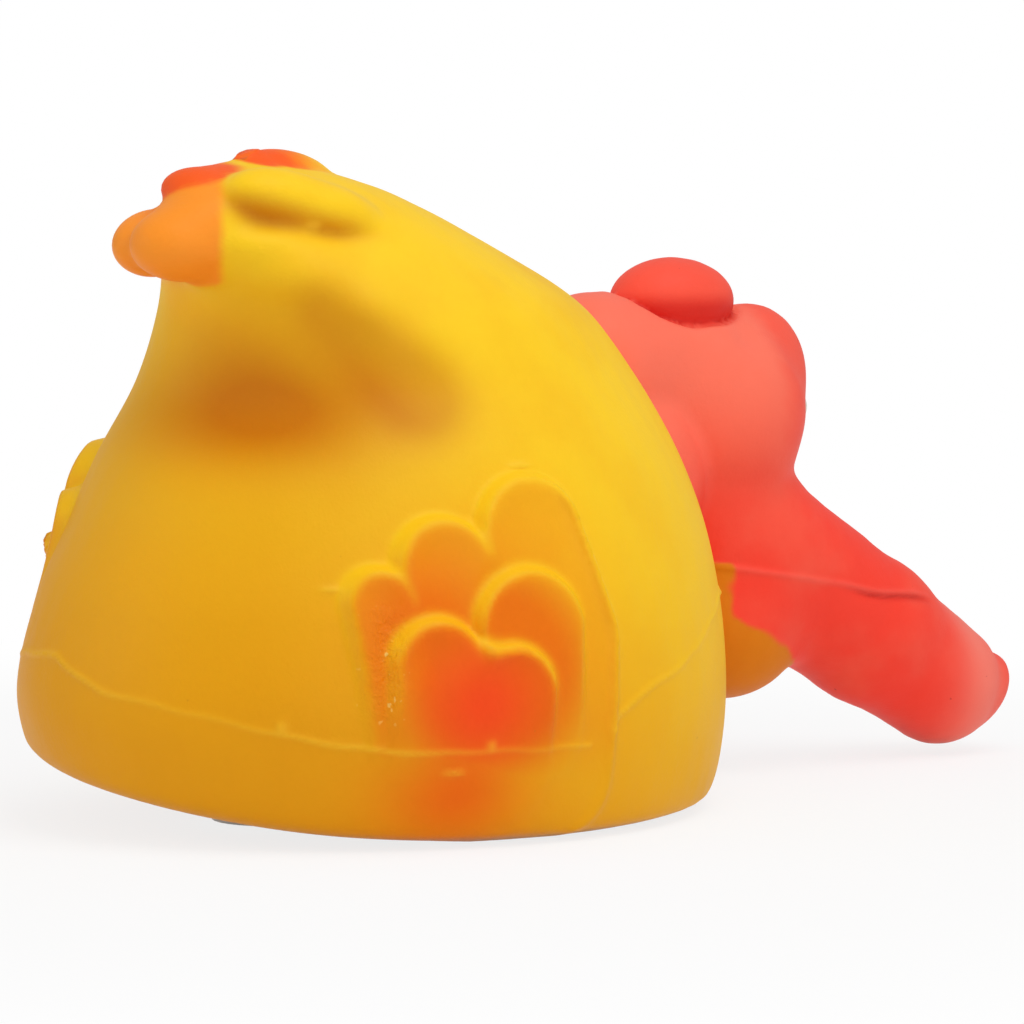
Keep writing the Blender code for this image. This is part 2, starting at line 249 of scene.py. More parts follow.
def eggShell(centre, radii, turn=None, around=28, rows=18):
    loops = []
    turn = np.eye(3) if turn is None else turn
    for k in range(rows + 1):
        polar = -pi / 2 + pi * (k + 0.02) / (rows + 0.04)
        ring = [
            (radii[0] * cos(polar) * cos(a), radii[1] * cos(polar) * sin(a), radii[2] * sin(polar))
            for a in angles(around)
        ]
        loops.append(np.asarray(ring) @ turn.T + np.asarray(centre))
    return rings(loops)


def remesh(piece, pitch):
    step = piece.modifiers.new("remesh", "REMESH")
    step.mode = "VOXEL"
    step.voxel_size = pitch
    step.adaptivity = 0
    graph = bpy.context.evaluated_depsgraph_get()
    mesh = bpy.data.meshes.new_from_object(piece.evaluated_get(graph))
    piece.modifiers.clear()
    old, piece.data = piece.data, mesh
    bpy.data.meshes.remove(old)


def points(piece):
    flat = np.empty(len(piece.data.vertices) * 3)
    piece.data.vertices.foreach_get("co", flat)
    return flat.reshape(-1, 3)


def slopeOf(form, p, step=0.12):
    rise = np.empty_like(p)
    for axis in range(3):
        nudge = np.zeros(3)
        nudge[axis] = step
        rise[:, axis] = (form(p + nudge) - form(p - nudge)) / (2 * step)
    return rise


def settle(piece, form, rounds, reach=1.2, relax=0.35):
    # every vertex walks to the form's surface while the mesh evens itself out
    p = points(piece)
    edges = np.empty(len(piece.data.edges) * 2, dtype=np.int64)
    piece.data.edges.foreach_get("vertices", edges)
    a, b = edges.reshape(-1, 2).T
    share = np.bincount(np.concatenate([a, b]), minlength=len(p)).astype(float)
    for k in range(rounds):
        rise = slopeOf(form, p)
        steep = np.maximum((rise**2).sum(axis=1), 0.15)
        move = -(form(p) / steep)[:, None] * rise
        long = np.maximum(np.linalg.norm(move, axis=1), 1e-9)
        p = p + move * np.minimum(1, reach / long)[:, None]
        if k < rounds - 2 and relax:
            mean = np.empty_like(p)
            for axis in range(3):
                mean[:, axis] = (
                    np.bincount(a, p[b, axis], len(p)) + np.bincount(b, p[a, axis], len(p))
                ) / share
            drift = mean - p
            out = rise / np.sqrt(steep)[:, None]
            drift -= (drift * out).sum(axis=1)[:, None] * out
            p = p + drift * relax
    piece.data.vertices.foreach_set("co", p.ravel())
    piece.data.update()


def refine(piece, near):
    # splits the faces whose vertices near() picks
    bm = bmesh.new()
    bm.from_mesh(piece.data)
    chosen = near(points(piece))
    bm.verts.ensure_lookup_table()
    edges = [e for e in bm.edges if chosen[e.verts[0].index] and chosen[e.verts[1].index]]
    bmesh.ops.subdivide_edges(bm, edges=edges, cuts=1, use_grid_fill=True)
    bmesh.ops.triangulate(bm, faces=[f for f in bm.faces if len(f.verts) > 4])
    bm.to_mesh(piece.data)
    bm.free()


def store(piece, name, values):
    made = piece.data.attributes.new(name, "FLOAT", "POINT")
    made.data.foreach_set("value", np.asarray(values, dtype=np.float32))


def finishMesh(piece, material):
    # from millimetres to metres, smooth, with its material
    piece.data.vertices.foreach_set("co", (points(piece) * mm).ravel())
    piece.data.update()
    piece.data.materials.clear()
    piece.data.materials.append(material)
    piece.data.shade_smooth()


# stage, lamps and camera
pureWhite = (1, 1, 1, 1)

stageSettings = {
    "cameraPlace": (0.5077, -0.4798, 0.0907),
    "aim": (0.01396, 0.01396, 0.04186),
    "lens": 175.7,
    "sensor": 36,
    "floorSize": 3.0,
    "floorDrop": 0.0002,  # below the base
    "floorGrey": 0.90,
    "floorShare": 0.80,  # of the floor's own white, against the light that falls on it
    "floorFade": (0.10, 0.26),  # where the shadows on it end
    "worldLevel": 0.53,
    "keyPower": 1.78,
    "keyPlace": (0.28, -0.02, 0.62),
    "keySize": 0.55,
    "fillPower": 0.74,
    "fillPlace": (0.72, -0.30, 0.22),
    "fillSize": 0.5,
    "softPower": 0.70,
    "softPlace": (-0.42, -0.62, 0.26),
    "softSize": 0.5,
}


def standAndAim(thing, place, aim):
    thing.location = place
    look = Vector(aim) - Vector(place)
    thing.rotation_euler = look.to_track_quat("-Z", "Y").to_euler()


def makeCamera(s):
    scene = bpy.context.scene
    scene.view_settings.view_transform = "Standard"
    camera = addObject("camera", bpy.data.cameras.new("camera"))
    standAndAim(camera, s["cameraPlace"], s["aim"])
    camera.data.lens = s["lens"]
    camera.data.sensor_width = s["sensor"]
    camera.data.clip_start = 0.01
    scene.camera = camera


def makeFloor(s):
    half = s["floorSize"] / 2
    corners = [(-half, -half, 0), (half, -half, 0), (half, half, 0), (-half, half, 0)]
    floor = startMesh("floor", [(corners, [(0, 1, 2, 3)])])
    floor.location.z = -s["floorDrop"]
    f = Finish("floorWhite", {"Base Color": (*[s["floorGrey"]] * 3, 1), "Roughness": 0.9})
    # seen straight or in a reflection it is white, but for the shadow round the hen
    seen = f.node("ShaderNodeLightPath") + f.node("ShaderNodeLightPath", out="Is Glossy Ray")
    away = f.node("ShaderNodeVectorMath", {"operation": "LENGTH"}, {0: f.place}, out="Value")
    share = s["floorShare"] + (1 - s["floorShare"]) * f.between(away, *s["floorFade"])
    glow = f.node("ShaderNodeEmission", inputs={"Color": pureWhite, "Strength": 1.0})
    body = Wire(f, f.shader.outputs[0])
    both = f.node("ShaderNodeMixShader", inputs={0: seen * share, 1: body, 2: glow})
    f.feed(f.tree.nodes["Material Output"].inputs["Surface"], both)
    floor.data.materials.append(f.material)


def makeWorld(s):
    world = bpy.data.worlds.new("studio")
    bpy.context.scene.world = world
    world.use_nodes = True
    sky = Nodes(world.node_tree)
    light = sky.tree.nodes["Background"]
    sky.feed(light.inputs["Color"], pureWhite)
    sky.feed(light.inputs["Strength"], s["worldLevel"])
    plain = sky.node("ShaderNodeBackground", inputs={"Color": pureWhite, "Strength": 1.0})
    seen = sky.node("ShaderNodeLightPath")
    both = sky.node("ShaderNodeMixShader", inputs={0: seen, 1: Wire(sky, light.outputs[0]), 2: plain})
    sky.feed(sky.tree.nodes["World Output"].inputs["Surface"], both)


def makeLamps(s):
    for name in ("key", "fill", "soft"):
        lamp = bpy.data.lights.new(name, "AREA")
        lamp.energy = s[name + "Power"]
        lamp.shape = "DISK"
        lamp.size = s[name + "Size"]
        standAndAim(addObject(name, lamp), s[name + "Place"], s["aim"])


makeCamera(stageSettings)
makeFloor(stageSettings)
makeWorld(stageSettings)
makeLamps(stageSettings)
print("stage, lamps and camera are up")

# what all the latex shares
latexBase = {"Specular IOR Level": 0.17, "IOR": 1.46, "Subsurface Weight": 0.04, "Subsurface Scale": 0.003}

# the body's form
bodyShape = {
    "width": 90.5,
    "length": 107.0,
    "height": 91.0,
    # shares: height, centre forward, half width, half length
    "rows": (
        (0.000, 0.030, 0.900, 0.820), (0.022, 0.026, 0.955, 0.900), (0.090, 0.018, 0.985, 0.965),
        (0.200, 0.009, 1.000, 1.000), (0.333, 0.018, 0.964, 0.961), (0.444, 0.030, 0.899, 0.897),
        (0.555, 0.033, 0.813, 0.817), (0.667, 0.030, 0.694, 0.710), (0.778, 0.000, 0.581, 0.598),
        (0.867, -0.074, 0.427, 0.475), (0.944, -0.154, 0.278, 0.350), (0.982, -0.196, 0.160, 0.210),
        (1.000, -0.220, 0.030, 0.040),
    ),
    "edgeRound": 2.6,  # of the base's edge
    "baseLift": (14.0, 0.060, 0.0015),  # the base curls up towards the rear left: start, slope, curl
    "unevenness": 0.10,
    # little dashes of flash left by the mould: place, widths
    "flash": (
        ((36.4, -6.8, 50.2), (1.5, 1.5, 0.45)), ((29.3, -34.9, 34.8), (1.4, 1.4, 0.4)),
        ((14.2, -24.0, 82.4), (1.0, 1.0, 0.6)), ((39.8, -22.8, 10.5), (1.2, 1.2, 0.35)),
    ),
    # centre, widths, depth of the broad hollows (above 0) and swellings (below 0) of the casting
    "hollows": (
        ((11.0, -35.0, 58.5), (15.0, 12.0, 7.6), 4.8),
        ((21.0, -24.0, 66.0), (7.0, 7.0, 6.0), 0.7),
        ((27.0, -17.5, 61.0), (8.0, 8.0, 6.0), 0.6),
        ((7.0, -32.0, 76.6), (8.0, 7.0, 3.8), -2.4),
        ((15.5, -27.0, 75.8), (7.0, 7.0, 3.8), -2.6),
        ((21.5, -21.8, 71.5), (6.0, 6.0, 4.0), -1.9),
        ((27.0, -18.0, 67.0), (6.0, 6.0, 4.5), -1.2),
        ((14.0, -27.5, 81.6), (6.0, 9.0, 1.7), 2.0),
    ),
}

rowScale = np.array([bodyShape[name] for name in ("height", "length", "width", "length")]) / (1, 1, 2, 2)


def rowAt(t):
    # the section at a place along the rows, on a smooth curve through them
    rows = bodyShape["rows"]
    i = min(int(t), len(rows) - 2)
    s = t - i
    a, b, c, d = (np.array(rows[min(max(k, 0), len(rows) - 1)]) for k in range(i - 1, i + 3))
    bend = (2 * a - 5 * b + 4 * c - d) * s**2 + (3 * b - a - 3 * c + d) * s**3
    return 0.5 * (2 * b + (c - a) * s + bend) * rowScale


table = np.array([rowAt(t) for t in np.linspace(0, len(bodyShape["rows"]) - 1, 500)])


def section(z):
    # centre forward, half width and half length at a height
    return [np.interp(z, table[:, 0], table[:, k]) for k in (1, 2, 3)]


def outwards(p, z):
    # how far out of the body's section at height z a point is, level
    centre, wide, long = section(np.clip(z, 0, bodyShape["height"]))
    x, y = p[:, 0], p[:, 1] - centre
    share = np.sqrt((x / wide) ** 2 + (y / long) ** 2) + 1e-9
    rise = np.sqrt((x / wide**2) ** 2 + (y / long**2) ** 2) / share + 1e-9
    return (share - 1) / rise


def bodySide(p):
    z = p[:, 2]
    level = outwards(p, z)
    slope = (outwards(p, z + 0.6) - outwards(p, z - 0.6)) / 1.2
    return level / np.sqrt(1 + slope**2)


def baseLevel(p):
    rearLeft = -(p[:, 0] + p[:, 1]) / sqrt(2)
    start, slope, curl = bodyShape["baseLift"]
    reach = np.maximum(0, rearLeft + start)
    return slope * reach + curl * reach**2


# the seam of the mould, round the body
seamShape = {
    # bearing round the body in degrees (0 is the hen's right, 90 its breast) and height
    "course": (
        (-180, 17.5), (-150, 19.5), (-120, 23.5), (-99, 24.7), (-87, 21.1), (-64, 17.2), (-51, 15.2),
        (-41, 13.8), (-33, 13.0), (-12, 13.3), (-3, 13.2), (2, 15.7), (10, 18.8), (23, 22.2),
        (37, 26.8), (48, 29.6), (90, 32.0), (132, 29.0), (150, 24.0), (165, 19.5), (180, 17.5),
    ),
    "gap": (-2.2, 1.6),  # bearings between which the bead fades
    "width": 0.42,
    "height": 0.36,
    "snags": ((-23.5, 14.0), (-57.0, 17.0), (1.8, 14.8)),  # little tags of flash on it
}


def seamOffset(p):
    bearing = np.degrees(np.arctan2(p[:, 1], p[:, 0]))
    course = np.array(seamShape["course"])
    height = np.interp(bearing, course[:, 0], course[:, 1])
    height = height + 0.25 * np.sin(np.radians(bearing * 9)) + 0.12 * np.sin(np.radians(bearing * 31))
    return p[:, 2] - height, bearing


def seamBead(p):
    offset, bearing = seamOffset(p)
    low, high = seamShape["gap"]
    present = 1 - ramp(bearing, low - 1.5, low) * (1 - ramp(bearing, high, high + 1.0))
    strength = 0.72 + 0.28 * np.sin(np.radians(bearing * 7 + 40))
    bead = bell(offset, seamShape["width"]) * present * strength
    for snagBearing, snagHeight in seamShape["snags"]:
        away = np.hypot((bearing - snagBearing) * 0.8, p[:, 2] - snagHeight)
        bead = bead + 0.9 * bell(away, 0.7)
    return bead


# the wings' relief
wingShape = {
    # side, bearing towards the tail, how much higher it sits, how proud, how much higher it starts
    "places": ((1, radians(-22), 1.0, 1.0, 0.0), (-1, radians(-30), 9.0, 1.3, 16.0)),
    # each feather: centres (along the flank to the head, height) with radii, from tip to root
    "outer": (
        ((7.2, 40.4, 8.1), (9.5, 26.0, 10.3), (9.6, 8.0, 9.4)),
        ((-6.0, 36.3, 7.0), (-3.0, 14.0, 6.0)),
        ((-15.2, 31.8, 5.1), (-12.4, 14.0, 5.6)),
        ((0.0, 33.0, 6.4), (0.0, 14.0, 8.0)),
        ((-10.5, 27.0, 5.6), (-8.0, 12.0, 7.0)),
    ),
    "middle": (((5.1, 27.9, 8.5), (6.2, 14.0, 7.4)),),
    "front": (
        ((-8.7, 23.8, 6.5), (-8.8, 10.0, 6.6)),
        ((1.5, 19.6, 6.9), (1.0, 9.0, 7.4)),
        ((-4.0, 18.4, 6.6), (-4.0, 9.0, 7.4)),
    ),
    "heights": {"outer": 2.1, "middle": 1.9, "front": 2.2},
    # heights of nil and full relief
    "roots": {"outer": (6.0, 40.0), "middle": (10.0, 30.0), "front": (9.0, 22.0)},
    "rimWidth": 1.7,
    "edgeSoft": 0.85,
    "merge": {"outer": 1.2, "middle": 1.0, "front": 3.2},  # how softly neighbouring feathers run together
}


def featherEdge(s, z, feather):
    # distance inside (below 0) and outside a feather's outline
    away = np.full(len(s), 1e3)
    for (s0, z0, r0), (s1, z1, r1) in zip(feather, feather[1:]):
        ds, dz = s1 - s0, z1 - z0
        t = np.clip(((s - s0) * ds + (z - z0) * dz) / (ds * ds + dz * dz), 0, 1)
        away = np.minimum(away, np.hypot(s - s0 - t * ds, z - z0 - t * dz) - r0 - (r1 - r0) * t)
    return away


def flank(p, side, bearing, lift):
    # place on one wing's plane, and whether the point is on that side
    out = (cos(bearing) * side, sin(bearing))
    along = (-sin(bearing) * side, cos(bearing))
    s = p[:, 0] * along[0] + p[:, 1] * along[1]
    facing = ramp(p[:, 0] * out[0] + p[:, 1] * out[1], 8, 14)
    return s, p[:, 2] - lift, facing


def tierEdge(s, z, tier):
    edge = featherEdge(s, z, wingShape[tier][0])
    for feather in wingShape[tier][1:]:
        edge = melt(edge, featherEdge(s, z, feather), wingShape["merge"][tier])
    return edge


def tierRelief(s, z, tier, raised):
    w = wingShape
    low, full = w["roots"][tier]
    low += raised
    full = max(full, low + 6)
    edge = tierEdge(s, z, tier)
    inside = 1 - ramp(edge, -w["edgeSoft"], w["edgeSoft"] * 0.35)
    if tier == "middle":  # it runs out under the front feathers
        inside = inside * ramp(tierEdge(s, z, "front"), -2.6, 0.2)
    rim = bell(edge + w["rimWidth"] * 0.9, w["rimWidth"])
    basin = ramp(-edge, 1.2, 8.5)
    fall = 0.06 + 0.94 * ramp(z, low, full)
    return inside * (0.84 + 0.20 * rim - 0.24 * basin) * fall * w["heights"][tier]


def wingRelief(p):
    total = np.zeros(len(p))
    for side, bearing, lift, proud, raised in wingShape["places"]:
        s, z, facing = flank(p, side, bearing, lift)
        near = (facing > 0) & (np.abs(s) < 30)
        if not near.any():
            continue
        sn, zn = s[near], z[near]
        relief = sum(tierRelief(sn, zn, tier, raised) for tier in ("outer", "middle", "front"))
        if side > 0:  # the right wing's leading edge runs on down to the base as a thin raised line
            lead = featherEdge(sn, zn, wingShape["outer"][0])
            line = bell(lead + 0.8, 0.95) * ramp(sn, 9, 14) * (1 - 0.55 * (1 - ramp(zn, 2, 24)))
            relief = relief + 0.9 * line
        total[near] += relief * proud * facing[near]
    return total


# the tail
tailRoot = np.array([0.0, -0.22 * bodyShape["length"], bodyShape["height"] - 0.4])
tailShape = {
    # place from the tail's root, radii, pitch, turn, softness of its join
    "ridge": ((0.0, 7.2, -1.8), (4.4, 8.45, 3.6), -8, 0, 0.9),
    "ridgeTip": ((0.0, 1.5, -1.5), (4.2, 2.7, 3.0), 0, 0, 0.6),
    "crownFeather": ((0.0, -6.6, -3.6), (5.6, 6.5, 3.1), 0, 0, 0.8),
    "crownTip": ((0.0, -9.3, -3.4), (4.8, 3.7, 2.7), 0, 0, 0.8),
    "centreFeather": ((2.0, -12.0, -10.6), (6.8, 8.6, 5.3), 4, 0, 3.0),
    "centreTop": ((3.4, -8.4, -7.4), (6.4, 7.6, 4.6), 10, 0, 2.2),
    "leftFeather": ((-7.0, -10.0, -10.8), (4.8, 8.2, 4.6), 4, 18, 1.6),
    "sideRight": ((9.4, -2.6, -4.6), (5.0, 7.6, 3.9), -10, -10, 1.6),
    "sideRoot": ((11.4, 3.2, -6.3), (5.0, 8.6, 3.8), -12, -14, 1.8),
    "sideLower": ((9.6, -2.4, -12.0), (5.8, 9.2, 3.7), -8, -12, 2.6),
    "sideLeft": ((-9.0, 0.6, -8.0), (4.4, 8.0, 4.0), 8, 8, 1.6),
}


def tailPart(p, name):
    place, radii, pitch, turn, _ = tailShape[name]
    return egg(p, tailRoot + place, radii, spin(pitch, turn))


# the well under the body that holds the squeaker
wellShape = {"place": (0.0, -18.0), "radius": 9.3, "ceiling": 14.8}


def wellForm(p):
    x, y = wellShape["place"]
    side = np.hypot(p[:, 0] - x, p[:, 1] - y) - wellShape["radius"]
    return np.maximum(side, p[:, 2] - wellShape["ceiling"])


def flashDashes(p):
    return sum(dent(p, place, widths) for place, widths in bodyShape["flash"])


def trunkForm(p, seam=True):
    side = bodySide(p)
    relief = wingRelief(p)
    for centre, widths, depth in bodyShape["hollows"]:
        relief = relief - depth * dent(p, centre, widths)
    relief = relief + bodyShape["unevenness"] * waves(p, 34, 3) + 0.03 * waves(p, 9, 5)
    if seam:
        relief = relief + seamShape["height"] * seamBead(p) + 0.45 * flashDashes(p)
    form = side - relief
    form = -melt(-form, p[:, 2] - baseLevel(p), bodyShape["edgeRound"])
    high = p[:, 2] > 62
    if high.any():
        q = p[high]
        top = form[high]
        for name, row in tailShape.items():
            top = melt(top, tailPart(q, name), row[-1])
        form[high] = top
    return carve(form, wellForm(p), 0.8)


def fineDetail(p):
    # where the mesh needs smaller faces: the seam, the flash and the right wing's leading edge
    side, bearing, lift, _, _ = wingShape["places"][0]
    s, z, facing = flank(p, side, bearing, lift)
    lead = featherEdge(s, z, wingShape["outer"][0])
    line = (facing > 0) & (np.abs(lead + 0.5) < 1.6) & (s > 8) & (z < 50)
    dashes = flashDashes(p) > 0.02
    return (np.abs(seamOffset(p)[0]) < 1.3) | line | dashes


trunkMesh = {"around": 72, "rows": 60, "pitches": (1.0, 0.9, 0.74)}  # pitches of its three remeshes


def makeTrunk():
    coarse, middling, fine = trunkMesh["pitches"]
    loops = []
    for t in np.linspace(0, len(bodyShape["rows"]) - 1.02, trunkMesh["rows"]):
        z, centre, wide, long = rowAt(t)
        loops.append([(wide * cos(a), centre + long * sin(a), z) for a in angles(trunkMesh["around"])])
    shells = [rings(loops)]
    for place, radii, pitch, turn, _ in tailShape.values():
        shells.append(eggShell(tailRoot + place, radii, spin(pitch, turn)))
    trunk = startMesh("trunkSkin", shells)
    remesh(trunk, coarse)
    x, y = wellShape["place"]
    radius = wellShape["radius"]
    drill = startMesh("drill", [rings([
        [(x + radius * cos(a), y + radius * sin(a), z) for a in angles(48)]
        for z in (-6.0, wellShape["ceiling"])
    ])])
    step = trunk.modifiers.new("drill", "BOOLEAN")
    step.operation = "DIFFERENCE"
    step.object = drill
    step.solver = "EXACT"
    remesh(trunk, middling)
    bpy.data.objects.remove(drill, do_unlink=True)
    settle(trunk, lambda p: trunkForm(p, False), 5, 2.0)
    remesh(trunk, fine)
    settle(trunk, lambda p: trunkForm(p, False), 4, 0.8, 0.25)
    refine(trunk, fineDetail)
    settle(trunk, trunkForm, 3, 0.5, 0.0)
    return trunk


trunk = makeTrunk()
print("trunk skin:", len(trunk.data.vertices), "vertices")


# the paint on the trunk
trunkPaint = {
    "ridgeEnds": (3.0, 15.0),  # forward of the tail's root, where the ridge's red thins out
    # the tail's spray stops at an upright edge: the bearing it faces, its place and its heights
    "sprayFacing": radians(46.62),
    "sprayEdge": (-20.6, -18.9),
    "sprayHeights": (73.2, 77.2),
    # patches on a wing: place along it, height, half length, half height
    "redCore": (-2.8, 18.5, 8.8, 8.2),
    "orangeSpread": (-0.5, 23.0, 16.5, 16.0),
    "orangeBelow": (-5.5, 6.5, 10.0, 7.5),
    "haze": (-10.0, 28.0, 11.0, 12.0),
    "wideHaze": (-4.0, 26.0, 20.0, 18.0),
    "bubbles": (-15.6, 26.0, 0.10, 2.6),  # a row: place along the wing, at which height, lean, half width
    # the shade in the hollow below the tail: place, widths, strength
    "hollows": (
        ((12.5, -32.5, 57.5), (21.0, 16.0, 8.0), 1.15),
        ((7.0, -33.0, 67.0), (12.0, 9.0, 6.0), 0.35),
    ),
    "hollowArm": ((18.0, -25.0, 70.5), (28.0, -17.0, 60.0), 1.0, 3.5),  # start, end and their radii
    "armFade": 4.2,
}


def tailHigh(p):
    # 1 at the heights of the tail
    return ramp(p[:, 2], 70, 74)


def patch(s, z, place):
    # 0 in the middle of a patch on a wing, 1 at its edge
    return np.hypot((s - place[0]) / place[2], (z - place[1]) / place[3])


def paintTail(piece, p, ragged, form):
    paint = trunkPaint
    sprayed = ("centreFeather", "centreTop", "leftFeather")
    onTop = np.min([form[name] for name in ("ridge", "ridgeTip", "crownFeather", "crownTip")], axis=0)
    onSprayed = np.min([form[name] for name in sprayed], axis=0)
    others = np.minimum(onSprayed, form["sideRight"] + 0.3)
    red = 1 - ramp(onTop + 0.2 * ragged, 0.3, 1.3)
    red = red * ramp(others - onTop + 0.25 * ragged, -0.5, 0.6) * tailHigh(p)
    red = red * (1 - ramp(p[:, 1] - tailRoot[1] + ragged, *paint["ridgeEnds"]) * 0.95)
    rest = np.min([form[name] for name in form if name not in sprayed] + [bodySide(p) - 0.6], axis=0)
    orange = ramp(rest - onSprayed + 0.25 * ragged, -0.7, 0.9) * tailHigh(p)
    across = p[:, 0] * cos(paint["sprayFacing"]) + p[:, 1] * sin(paint["sprayFacing"])
    behind = 1 - ramp(across + 0.2 * ragged, *paint["sprayEdge"])
    spray = behind * ramp(p[:, 2] + 0.3 * ragged, *paint["sprayHeights"]) * (onTop > 0.4)
    orange = np.maximum(orange * behind, spray)
    store(piece, "tailRed", np.clip(red, 0, 1))
    store(piece, "tailOrange", np.clip(orange, 0, 1))


def paintWings(piece, p, ragged):
    paint = trunkPaint
    wingRed, wingOrange, bubbles, bareRimsAndHighlight = np.zeros((4, len(p)))
    for side, bearing, lift, _, _ in wingShape["places"]:
        s, z, facing = flank(p, side, bearing, lift)
        facing = facing * (np.abs(s) < 40)
        edges = {tier: tierEdge(s, z, tier) for tier in ("outer", "middle", "front")}
        onFront = 1 - ramp(edges["front"] + 0.35 * ragged, -0.6, 0.4)
        onMiddle = 1 - ramp(edges["middle"] + 0.35 * ragged, -1.4, 0.3)
        onOuter = 1 - ramp(edges["outer"] + 0.3 * ragged, -2.0, 0.2)
        core = 1 - ramp(patch(s, z, paint["redCore"]), 0.05, 1.5)
        wingRed = np.maximum(wingRed, facing * onFront * core * 0.95)
        below = bell(patch(s, z, paint["orangeBelow"]), 1.0) * (1 - ramp(z, 12.0, 13.0))
        spread = 1 - ramp(patch(s, z, paint["orangeSpread"]), 0.55, 1.25)
        spread = spread * np.maximum(onFront, onMiddle * 0.92)
        haze = 0.62 * bell(patch(s, z, paint["haze"]), 1.0) + 0.27
        haze = haze * onOuter * ramp(z, 6, 16) + 0.12 * bell(patch(s, z, paint["wideHaze"]), 1.0)
        wingOrange = np.maximum(wingOrange, facing * np.maximum.reduce([spread, below, haze]))
        place, height, lean, wide = paint["bubbles"]
        row = bell(s - place - (z - height) * lean, wide) * ramp(z, 14, 19) * (1 - ramp(z, 30, 34))
        bubbles = np.maximum(bubbles, facing * row)
        for tier, edge in edges.items():
            low, full = wingShape["roots"][tier]
            shown = facing if tier == "front" else facing * ramp(edges["front"], -0.6, 0.6)
            upward = tierEdge(s, z + 0.5, tier) - edge  # the rims stay bare yellow, and their upper edges, where light catches, get painted highlight
            shown = shown * (0.4 + 0.6 * ramp(upward, -0.05, 0.30)) * ramp(z, low + 4, full)
            bareRimsAndHighlight = np.maximum(bareRimsAndHighlight, shown * bell(edge + 0.25, 0.85))
    store(piece, "wingRed", np.clip(wingRed, 0, 1))
    store(piece, "wingOrange", np.clip(wingOrange, 0, 1))
    store(piece, "bubbles", bubbles)
    store(piece, "bareRimsAndHighlight", bareRimsAndHighlight)


def paintHollow(piece, p, form):
    paint = trunkPaint
    hollow = sum(strength * dent(p, place, widths) for place, widths, strength in paint["hollows"])
    hollow = hollow + 0.48 * bell(np.maximum(taper(p, *paint["hollowArm"]), 0), paint["armFade"])
    # the shade under the right side feather ends below the ridge
    under = np.minimum(form["sideRight"], form["sideRoot"] + 0.6)
    belowRidge = 1 - ramp(p[:, 2] + 0.28 * (p[:, 1] - tailRoot[1]), 81.5, 85.5)
    hollow += 0.95 * bell(under, 1.9) * belowRidge * tailHigh(p) * (p[:, 0] > 0)
    store(piece, "hollow", np.clip(hollow, 0, 1))


def paintTrunk(piece):
    p = points(piece)
    ragged = 0.5 * waves(p, 7, 2) + 0.25 * waves(p, 2.6, 8)
    form = {name: tailPart(p, name) for name in tailShape}
    paintTail(piece, p, ragged, form)
    paintWings(piece, p, ragged)
    store(piece, "seamLight", np.clip(seamBead(p) + 1.6 * flashDashes(p), 0, 1))
    paintHollow(piece, p, form)
    # painted shade: the body's yellow turns deeper ochre lower down and towards its rear left, the side
    # turned from the light
    store(piece, "low", 1 - ramp(p[:, 2] + 0.5 * np.maximum(p[:, 0] + p[:, 1], -18), 4, 84))


def trunkFinish():
    f = Finish("castLatex", latexBase)
    cloud = f.noise(0.022, 4)
    fine = f.noise(0.0016, 3, 0.6)
    grain = f.noise(0.0004, 2)
    # painted shade: deeper ochre where the low mask is high
    light = f.mix(f.mask("low"), shade(255, 207, 30), shade(230, 157, 3))
    drift = f.between(cloud, 0.42, 0.68)
    light = f.mix(drift * 0.28, light, shade(240, 168, 8))
    light = f.mix(f.mask("hollow") * 0.92, light, shade(200, 110, 0))
    light = f.mix(f.mask("wingOrange"), light, shade(238, 108, 0))
    light = f.mix(f.mask("wingRed"), light, shade(252, 74, 20))
    # bare yellow rims, brighter on the feathers' upper edges as painted highlight
    light = f.mix(f.mask("bareRimsAndHighlight") * 0.72, light, shade(255, 206, 22))
    light = f.mix(f.mask("tailOrange"), light, shade(255, 150, 40))
    light = f.mix(f.mask("tailRed"), light, shade(252, 94, 27))
    light = f.mix(f.mask("seamLight") * 0.4, light, shade(255, 205, 50))
    speck = f.between(f.noise(0.0011, 1), 0.70, 0.76) * f.mask("bubbles")
    light = f.mix(speck * 0.6, light, shade(255, 220, 120))
    dust = f.between(f.noise(0.0022, 2, 0.7), 0.76, 0.80)
    light = f.mix(dust * 0.25, light, shade(190, 120, 20))
    rough = 0.42 + cloud * 0.10 + fine * 0.05 - f.mask("bubbles") * 0.08
    height = fine * 0.5 + grain * 0.25 + f.mask("bubbles") * f.noise(0.0012, 2, 0.7) * 5.0
    return f.done(light, rough, height, 0.10 * mm)


paintTrunk(trunk)
finishMesh(trunk, trunkFinish())
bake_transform(trunk)
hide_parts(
    "belly_skin", "flank_skin", "back_skin",
    "wing_outer_right", "wing_middle_right", "wing_inner_right",
    "wing_outer_left", "wing_middle_left", "wing_inner_left",
    "tail_ridge", "tail_crown_feather", "tail_centre_feather", "tail_left_feather",
    "tail_side_feather_right", "tail_side_feather_left",
)
print("trunk skin is painted")

# the head
neckShape = {"height": 46.0, "inset": 1.8}  # where the head pivots, and how far inside the breast


def breast(z):
    # how far forward the body reaches at a height
    centre, _, long = section(z)
    return float(centre + long)


